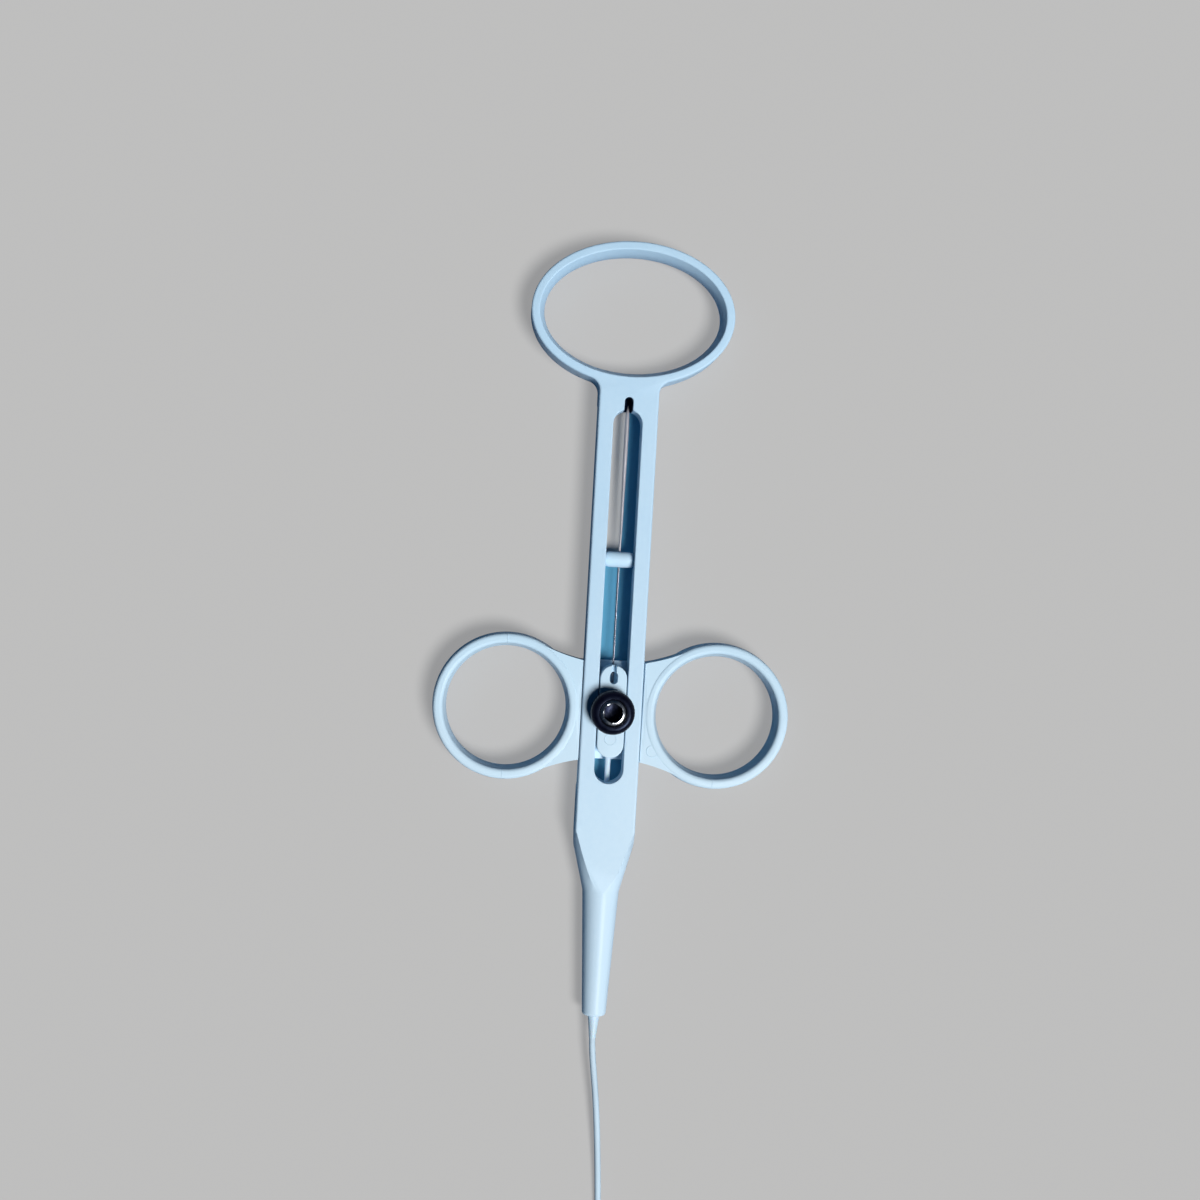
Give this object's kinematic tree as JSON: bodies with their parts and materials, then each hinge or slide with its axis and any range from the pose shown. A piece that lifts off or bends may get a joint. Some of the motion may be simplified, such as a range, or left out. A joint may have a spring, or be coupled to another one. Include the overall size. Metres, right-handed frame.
{
  "type": "flexible biopsy forceps",
  "caption": "Flexible biopsy forceps: a thumb-ring frame, a sliding spool with finger rings and a wire clamp, and a thin coiled sheath with cup jaws.",
  "frame": {"origin": "middle of the handle's outline, on the surface that it lies on, without the sheath", "axes": "+Z out of the front face, +Y towards the thumb ring, +X to the right seen from the front"},
  "size_m": [0.073, 0.2131, 0.011],
  "materials": {
    "handle_plastic": "moulded, satin",
    "steel": "fine ground",
    "wire": "drawn strand",
    "brass": "turned",
    "sleeve": "smooth tube",
    "sheath": "coated coil",
    "washer": "smooth",
    "knob_black": "polished, rounded"
  },
  "bodies": {
    "root": {"handle_frame": "handle_plastic", "wire_guide_bar": "handle_plastic", "nose_guide_tube": "steel", "sheath_gland": "steel", "strain_relief": "sleeve", "sheath_lead": "sheath", "sheath_coil": "sheath", "sheath_tail": "sheath", "tip_ferrule": "steel", "tip_clevis": "steel", "tip_rivet": "steel"},
    "spool": {"finger_spool": "handle_plastic", "key_plate": "handle_plastic", "key_screws": "steel", "threaded_insert": "brass", "drive_wire": "wire", "cannula": "sleeve", "clamp_sleeve": "steel", "knob_washer": "washer"},
    "shoe": {"pressure_shoe": "steel"},
    "clamp": {"clamp_screw": "steel", "clamp_knob": "knob_black"},
    "pull": {"pull_rod": "steel", "cross_pin": "steel"},
    "left_jaw": {"jaw_left": "steel"},
    "right_jaw": {"jaw_right": "steel"}
  },
  "joints": [
    {"name": "spool_slide", "type": "slide", "parent": "root", "child": "spool", "axis": [0, 1, 0], "range_m": [-0.0038, 0.0042]},
    {"name": "shoe_lift", "type": "slide", "parent": "spool", "child": "shoe", "axis": [0, 0, 1], "range_m": [0, 0.001]},
    {"name": "clamp_turn", "type": "hinge", "parent": "shoe", "child": "clamp", "pos_m": [0, -0.0154, 0.0093], "axis": [0, 0, 1], "range_deg": [0, 722]},
    {"name": "pull_slide", "type": "slide", "parent": "root", "child": "pull", "axis": [1, 0, 0], "range_m": [-0.00058, 0.00064]},
    {"name": "jaw_left_turn", "type": "hinge", "parent": "root", "child": "left_jaw", "pos_m": [-0.0349, -0.1373, 0.0008], "axis": [0, 0, 1], "range_deg": [-20, 18.1]},
    {"name": "jaw_right_turn", "type": "hinge", "parent": "root", "child": "right_jaw", "pos_m": [-0.0349, -0.1373, 0.0008], "axis": [0, 0, 1], "range_deg": [-18.1, 20]}
  ],
  "couplings": [
    {"joint": "clamp_turn", "follows": "shoe_lift", "rad_per_m": 12566},
    {"joint": "pull_slide", "follows": "spool_slide", "ratio": 0.15},
    {"joint": "jaw_left_turn", "follows": "spool_slide", "rad_per_m": -82.903},
    {"joint": "jaw_right_turn", "follows": "spool_slide", "rad_per_m": 82.903}
  ]
}
